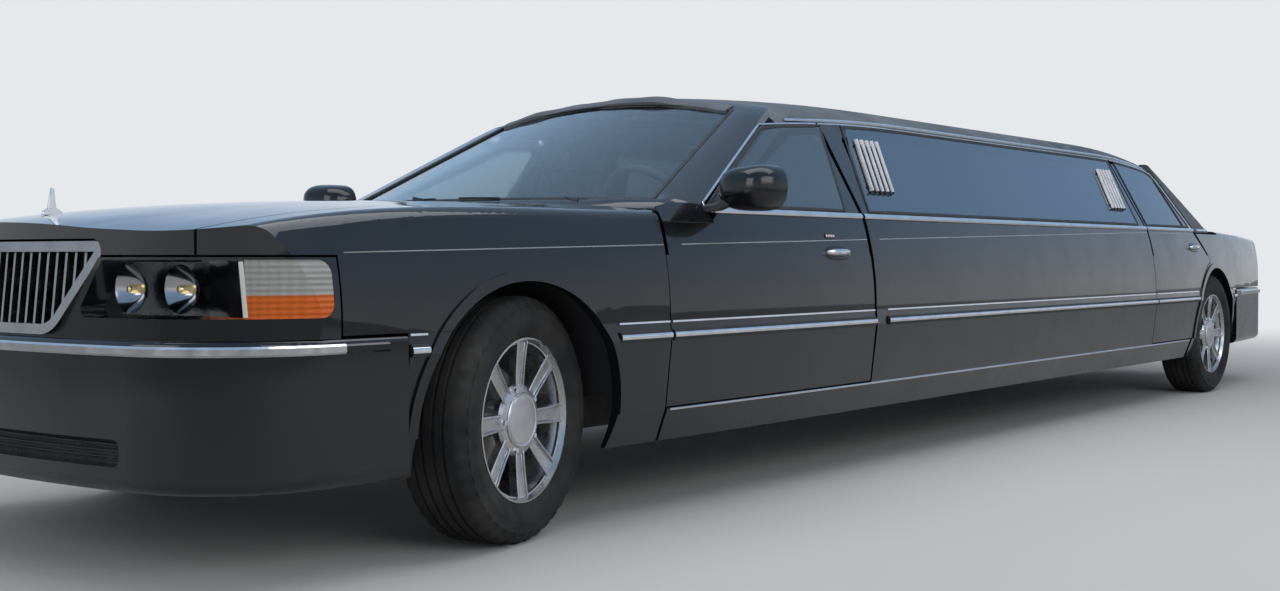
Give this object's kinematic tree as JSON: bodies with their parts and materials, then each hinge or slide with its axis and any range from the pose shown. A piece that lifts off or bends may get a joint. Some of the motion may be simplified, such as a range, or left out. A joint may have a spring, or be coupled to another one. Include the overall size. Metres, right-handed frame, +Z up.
{
  "type": "stretch limousine",
  "caption": "Black stretch limousine with a long windowed centre section, padded roof, opening doors, hood and trunk, steered front wheels and free-turning wheels.",
  "frame": {"origin": "on the ground under the middle of the car's length and width", "axes": "+X forwards, +Y to the car's left, +Z up"},
  "size_m": [8.519, 2.274, 1.4818],
  "materials": {
    "paint": "gloss black coach paint",
    "vinyl": "grained dark grey padded vinyl",
    "glass": "lightly tinted laminated glass",
    "dark_glass": "dark privacy glass",
    "chrome": "polished chrome, a little dulled",
    "wheel_metal": "dull chromed wheel",
    "tyre": "dusty black tread rubber",
    "black_plastic": "grained black trim",
    "lamp_clear": "clear moulded lamp cover",
    "lamp_amber": "clear and amber moulded cover",
    "lamp_red": "red moulded cover",
    "chassis": "satin black underbody paint",
    "cast": "bare cast and machined metal",
    "steel": "dull exhaust steel",
    "seat_hide": "black hide",
    "cabin_trim": "dark grey cabin trim"
  },
  "bodies": {
    "root": {"body_sides": "paint", "corner_lamps": "lamp_amber", "cowl": "black_plastic", "dashboard": "cabin_trim", "driveshaft": "steel", "engine": "cast", "exhaust": "steel", "floor_pan": "chassis", "frame": "chassis", "front_bumper": "paint", "front_fenders": "paint", "front_seats": "seat_hide", "front_suspension": "cast", "fuel_tank": "chassis", "grille": "chrome", "header_panel": "paint", "headlamps": "lamp_clear", "lounge_seats": "seat_hide", "louvres": "chrome", "partition": "cabin_trim", "rear_axle": "cast", "rear_body": "paint", "rear_bumper": "paint", "rear_window": "dark_glass", "roof": "vinyl", "side_glass": "dark_glass", "steering_wheel": "cabin_trim", "tail_lamps": "lamp_red", "trunk_floor": "chassis", "wheel_houses": "black_plastic", "windshield": "glass", "windshield_frame": "paint"},
    "door_front_left": {"front_door_left": "paint", "front_door_glass_left": "glass", "mirror_left": "black_plastic", "front_handle_left": "chrome"},
    "door_rear_left": {"rear_door_left": "paint", "rear_door_glass_left": "dark_glass", "rear_handle_left": "chrome"},
    "steering_left": {"knuckle_left": "cast"},
    "wheel_front_left": {"front_tyre_left": "tyre", "front_rim_left": "wheel_metal"},
    "wheel_rear_left": {"rear_tyre_left": "tyre", "rear_rim_left": "wheel_metal"},
    "door_front_right": {"front_door_right": "paint", "front_door_glass_right": "glass", "mirror_right": "black_plastic", "front_handle_right": "chrome"},
    "door_rear_right": {"rear_door_right": "paint", "rear_door_glass_right": "dark_glass", "rear_handle_right": "chrome"},
    "steering_right": {"knuckle_right": "cast"},
    "wheel_front_right": {"front_tyre_right": "tyre", "front_rim_right": "wheel_metal"},
    "wheel_rear_right": {"rear_tyre_right": "tyre", "rear_rim_right": "wheel_metal"},
    "hood_lid": {"hood": "paint"},
    "trunk": {"trunk_lid": "paint"}
  },
  "joints": [
    {"name": "steer_left", "type": "hinge", "parent": "root", "child": "steering_left", "pos_m": [3.1795, 0.735, 0.351], "axis": [0, 0, 1], "range_deg": [-44, 20]},
    {"name": "spin_front_left", "type": "hinge", "parent": "steering_left", "child": "wheel_front_left", "pos_m": [3.16495, 0.80347, 0.351], "axis": [-0.2079, 0.9781, 0], "continuous": true},
    {"name": "spin_rear_left", "type": "hinge", "parent": "root", "child": "wheel_rear_left", "pos_m": [-2.8585, 0.833, 0.351], "axis": [0, 1, 0], "continuous": true},
    {"name": "front_door_left_swing", "type": "hinge", "parent": "root", "child": "door_front_left", "pos_m": [2.5575, 0.97386, 0.6], "axis": [0, 0, -1], "range_deg": [0, 65]},
    {"name": "rear_door_left_swing", "type": "hinge", "parent": "root", "child": "door_rear_left", "pos_m": [-1.7325, 0.991, 0.6], "axis": [0, 0, -1], "range_deg": [0, 65]},
    {"name": "steer_right", "type": "hinge", "parent": "root", "child": "steering_right", "pos_m": [3.1795, -0.735, 0.351], "axis": [0, 0, 1], "range_deg": [-44, 20]},
    {"name": "spin_front_right", "type": "hinge", "parent": "steering_right", "child": "wheel_front_right", "pos_m": [3.19405, -0.80347, 0.351], "axis": [-0.2079, 0.9781, 0], "continuous": true},
    {"name": "spin_rear_right", "type": "hinge", "parent": "root", "child": "wheel_rear_right", "pos_m": [-2.8585, -0.833, 0.351], "axis": [0, 1, 0], "continuous": true},
    {"name": "front_door_right_swing", "type": "hinge", "parent": "root", "child": "door_front_right", "pos_m": [2.5575, -0.97386, 0.6], "axis": [0, 0, 1], "range_deg": [0, 65]},
    {"name": "rear_door_right_swing", "type": "hinge", "parent": "root", "child": "door_rear_right", "pos_m": [-1.7325, -0.991, 0.6], "axis": [0, 0, 1], "range_deg": [0, 65]},
    {"name": "hood_lift", "type": "hinge", "parent": "root", "child": "hood_lid", "pos_m": [2.5085, 0, 0.982], "axis": [0, -1, 0], "range_deg": [0, 50]},
    {"name": "trunk_lift", "type": "hinge", "parent": "root", "child": "trunk", "pos_m": [-3.1885, 0, 1.008], "axis": [0, 1, 0], "range_deg": [0, 75]}
  ],
  "couplings": [
    {"joint": "steer_right", "follows": "steer_left", "ratio": 1}
  ]
}
